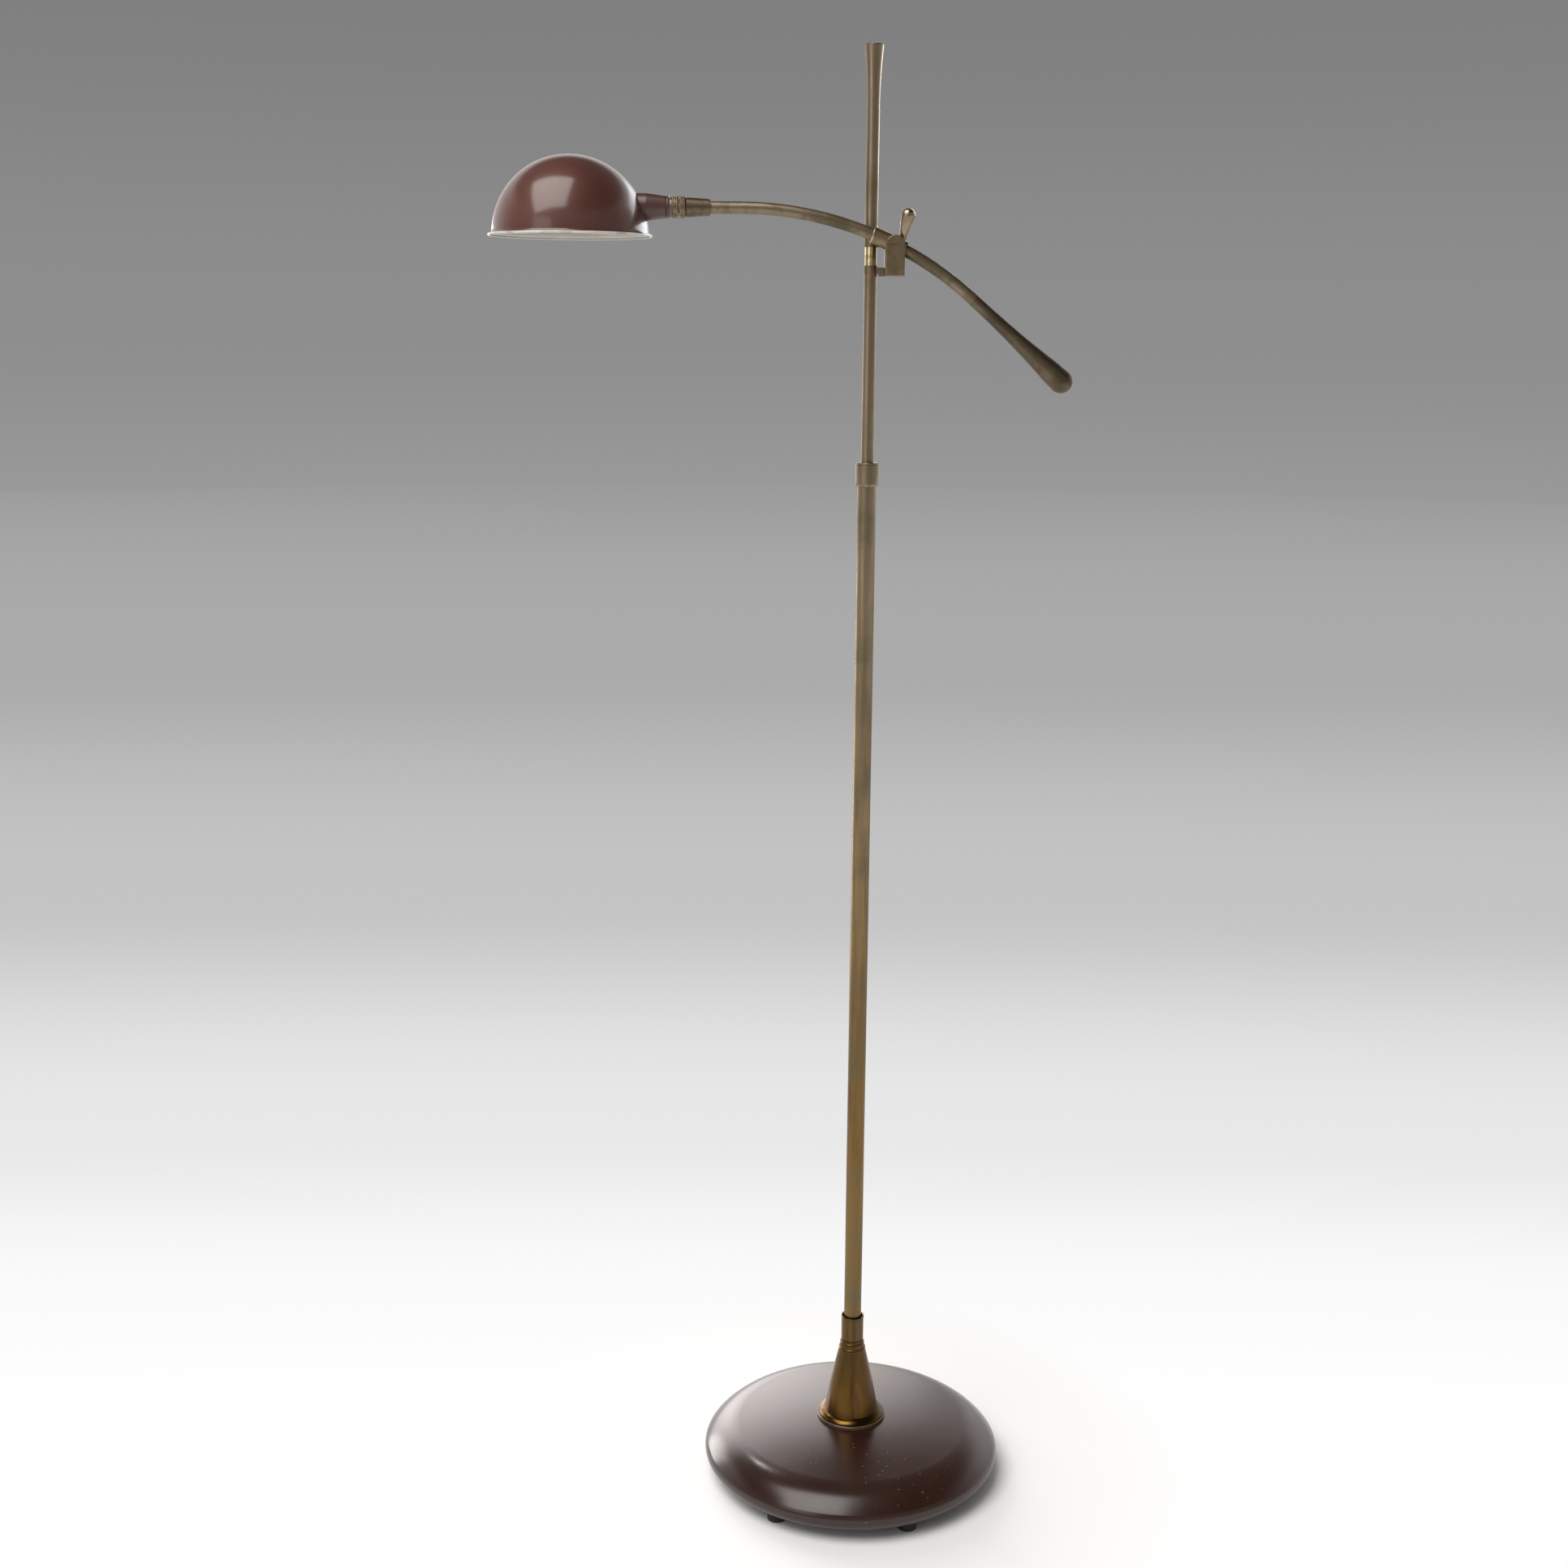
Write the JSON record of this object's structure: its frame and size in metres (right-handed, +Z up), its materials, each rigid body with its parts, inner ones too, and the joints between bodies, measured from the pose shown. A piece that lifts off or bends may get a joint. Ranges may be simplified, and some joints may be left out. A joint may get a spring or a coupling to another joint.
{
  "type": "cantilever floor lamp",
  "caption": "Floor lamp with a weighted round base, a telescoping stem and a curved counterbalanced arm that tilts and slides through a pivoting barrel, with a small domed shade.",
  "frame": {"origin": "on the floor, under the stem's axis", "axes": "+Z up along the stem; the arm's plane lies in front of the stem, towards -Y, with the shade towards -X and the counterweight towards +X"},
  "size_m": [0.5822, 0.3312, 1.5295],
  "materials": {
    "burgundy_enamel": "gloss",
    "aged_brass": "satin",
    "dark_brass": "satin",
    "polished_brass": "polished",
    "black_iron": "rough",
    "black_steel": "satin",
    "zinc_steel": "satin",
    "black_rubber": "matte",
    "black_bush": "matte",
    "fibre": "matte",
    "lead_sheath": "matte",
    "holder_body": "satin",
    "lamp_cap": "satin",
    "lamp_glass": "frosted"
  },
  "bodies": {
    "stand": {"base_shell": "burgundy_enamel", "base_weight": "black_iron", "bottom_cover": "black_steel", "foot_screws": "zinc_steel", "cord_inlet_bush": "black_bush", "base_lead": "lead_sheath", "cone_foot_ring": "dark_brass", "stem_cone": "aged_brass", "cone_cup": "aged_brass", "tie_rod": "zinc_steel", "tie_washer": "zinc_steel", "tie_nut": "zinc_steel", "stem_plug": "dark_brass", "lower_stem_tube": "aged_brass", "clutch_collet": "fibre", "rubber_foot_1": "black_rubber", "rubber_foot_2": "black_rubber", "rubber_foot_3": "black_rubber", "rubber_foot_4": "black_rubber", "rubber_foot_5": "black_rubber", "rubber_foot_6": "black_rubber"},
    "clutch": {"clutch_collar": "aged_brass"},
    "upper_stem": {"upper_stem_tube": "aged_brass", "stem_outlet_bush": "black_bush", "guide_bush": "fibre", "upper_lead": "lead_sheath", "swivel_core": "zinc_steel", "core_plug": "dark_brass", "polished_sleeve": "polished_brass", "swivel_washers": "fibre", "top_stem_tube": "aged_brass", "finial_ring": "aged_brass", "finial": "aged_brass"},
    "bracket": {"arm_bracket": "dark_brass", "pivot_washer": "zinc_steel"},
    "barrel": {"arm_barrel": "dark_brass", "pivot_screws": "dark_brass", "clamp_pad": "fibre"},
    "clamp": {"clamp_screw": "aged_brass", "clamp_handle": "aged_brass"},
    "arm": {"arm_tube": "aged_brass", "arm_inlet_bush": "black_bush", "arm_lead": "lead_sheath", "counterweight": "dark_brass", "arm_ferrule": "dark_brass", "swivel_spigot": "dark_brass", "spigot_clip": "zinc_steel"},
    "swivel_nut": {"swivel_nut": "aged_brass"},
    "head": {"neck_end_cap": "aged_brass", "neck_bead_ring": "aged_brass", "neck_cover": "burgundy_enamel", "shade_lock_ring": "zinc_steel", "lamp_holder": "holder_body", "lamp_contact": "dark_brass", "bulb_cap": "lamp_cap", "bulb_glass": "lamp_glass", "shade": "burgundy_enamel"},
    "switch": {"switch_ring": "aged_brass"}
  },
  "joints": [
    {"name": "clutch_turn", "type": "hinge", "parent": "stand", "child": "clutch", "pos_m": [0, 0, 1.1135], "axis": [0, 0, 1], "range_deg": [0, 90]},
    {"name": "stem_height", "type": "slide", "parent": "stand", "child": "upper_stem", "axis": [0, 0, 1], "range_m": [-0.15, 0.25]},
    {"name": "arm_swing", "type": "hinge", "parent": "upper_stem", "child": "bracket", "pos_m": [0, 0, 1.325], "axis": [0, 0, 1], "range_deg": [-150, 150]},
    {"name": "arm_tilt", "type": "hinge", "parent": "bracket", "child": "barrel", "pos_m": [0.0232, -0.016, 1.3395], "axis": [0, 1, 0], "range_deg": [-55, 20]},
    {"name": "clamp_turn", "type": "hinge", "parent": "barrel", "child": "clamp", "pos_m": [0.02838, -0.016, 1.33697], "axis": [0.1884, -0.4226, 0.8865], "range_deg": [0, 90]},
    {"name": "arm_travel", "type": "hinge", "parent": "barrel", "child": "arm", "pos_m": [-0.12699, -0.016, 1.02602], "axis": [0, 1, 0], "range_deg": [-9.5, 15]},
    {"name": "swivel_nut_turn", "type": "hinge", "parent": "arm", "child": "swivel_nut", "pos_m": [-0.18679, -0.016, 1.37362], "axis": [1, 0, 0], "range_deg": [0, 90]},
    {"name": "head_swivel", "type": "hinge", "parent": "arm", "child": "head", "pos_m": [-0.20299, -0.016, 1.37362], "axis": [1, 0, 0], "range_deg": [-100, 100]},
    {"name": "switch_turn", "type": "hinge", "parent": "head", "child": "switch", "pos_m": [-0.19359, -0.016, 1.37362], "axis": [1, 0, 0], "range_deg": [0, 60]}
  ]
}
